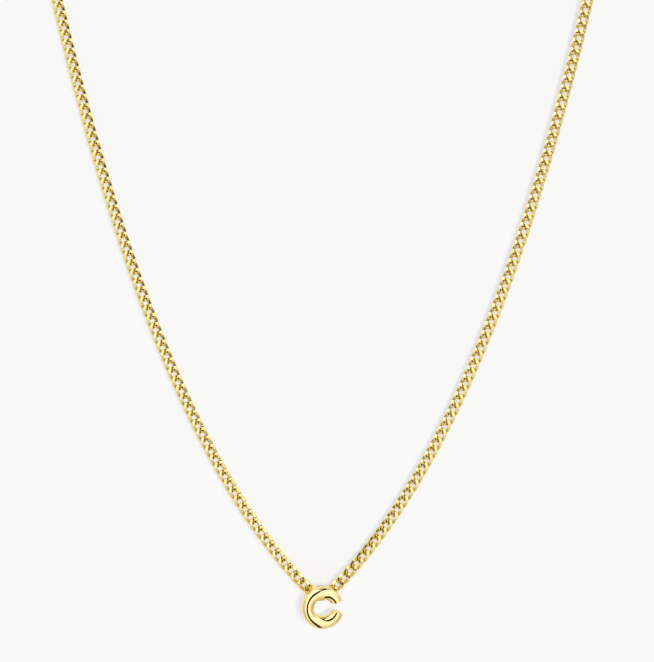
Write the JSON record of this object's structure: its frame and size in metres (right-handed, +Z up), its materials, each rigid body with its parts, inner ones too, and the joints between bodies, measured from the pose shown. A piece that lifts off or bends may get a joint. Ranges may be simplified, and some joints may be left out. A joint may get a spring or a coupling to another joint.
{
  "type": "initial pendant necklace",
  "caption": "Small pillowed letter pendant with a ring bail at its back, hanging on a fine curb chain closed by a spring ring clasp.",
  "frame": {"origin": "the middle of the loop's back, where the clasp lies at the nape and the necklace hangs", "axes": "+Z up, the letter's side towards -Y, +X to the right of someone who looks at the letter"},
  "size_m": [0.1002, 0.089, 0.128],
  "materials": {
    "polished_gold": "polished",
    "chain_gold": "polished",
    "clasp_gold": "polished"
  },
  "bodies": {
    "chain": {"chain_right": "chain_gold", "chain_left": "chain_gold", "clasp": "clasp_gold", "ring_right": "clasp_gold", "ring_left": "clasp_gold"},
    "pendant": {"initial": "polished_gold"}
  },
  "joints": [
    {"name": "pendant_swing", "type": "hinge", "parent": "chain", "child": "pendant", "pos_m": [-0.00025, -0.084, -0.12031], "axis": [0.9937, 0.1029, 0.0436], "range_deg": [-25, 90]}
  ]
}
